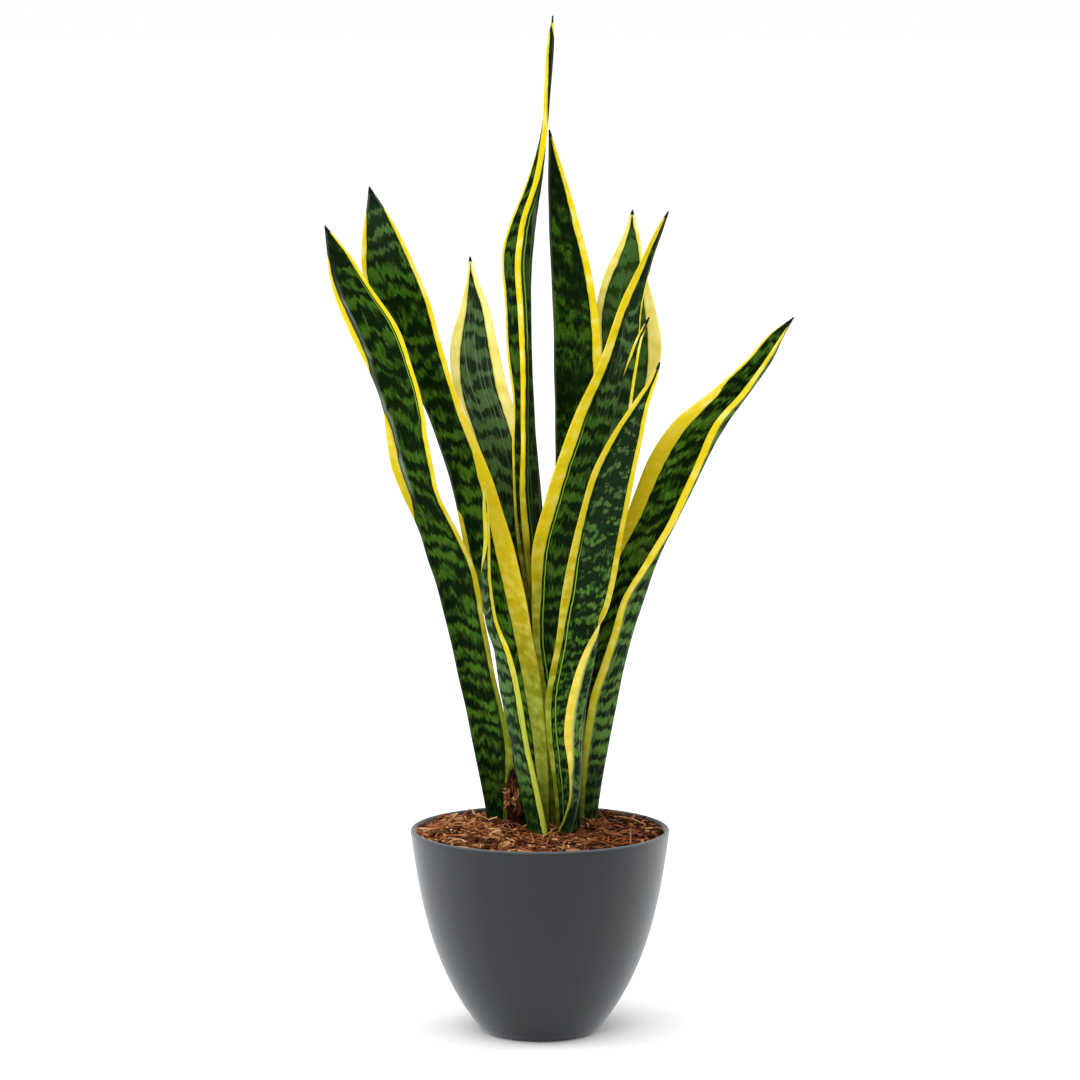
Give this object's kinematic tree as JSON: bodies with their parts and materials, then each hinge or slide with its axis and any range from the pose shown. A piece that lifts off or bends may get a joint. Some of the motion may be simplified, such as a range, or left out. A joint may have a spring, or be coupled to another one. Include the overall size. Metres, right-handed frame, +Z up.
{
  "type": "potted snake plant",
  "caption": "Upright variegated snake plant with yellow-edged, dark-banded sword leaves, in a tapered round bowl pot filled with soil and topped with shredded bark.",
  "frame": {"origin": "centre of the pot's flat base, on the ground", "axes": "+Z up, the pot's front faces -Y, the longest leaf leans to +X on the right as seen from the front"},
  "size_m": [0.3945, 0.22, 0.8595],
  "materials": {
    "pot": "matt anthracite",
    "soil": "crumbly and matt",
    "mulch": "rough shredded bark",
    "leaf": "satin, dark green with lighter cross bands and yellow edges"
  },
  "bodies": {
    "root": {"pot": "pot", "potting_soil": "soil", "bark_mulch": "mulch", "leaf_left_outer": "leaf", "leaf_left_tall": "leaf", "leaf_back_left": "leaf", "leaf_centre_tallest": "leaf", "leaf_back_tall": "leaf", "leaf_back_right": "leaf", "leaf_right_crossing": "leaf", "leaf_right_slender": "leaf", "leaf_right_front": "leaf", "leaf_right_outer": "leaf", "leaf_front_young": "leaf"}
  },
  "joints": []
}
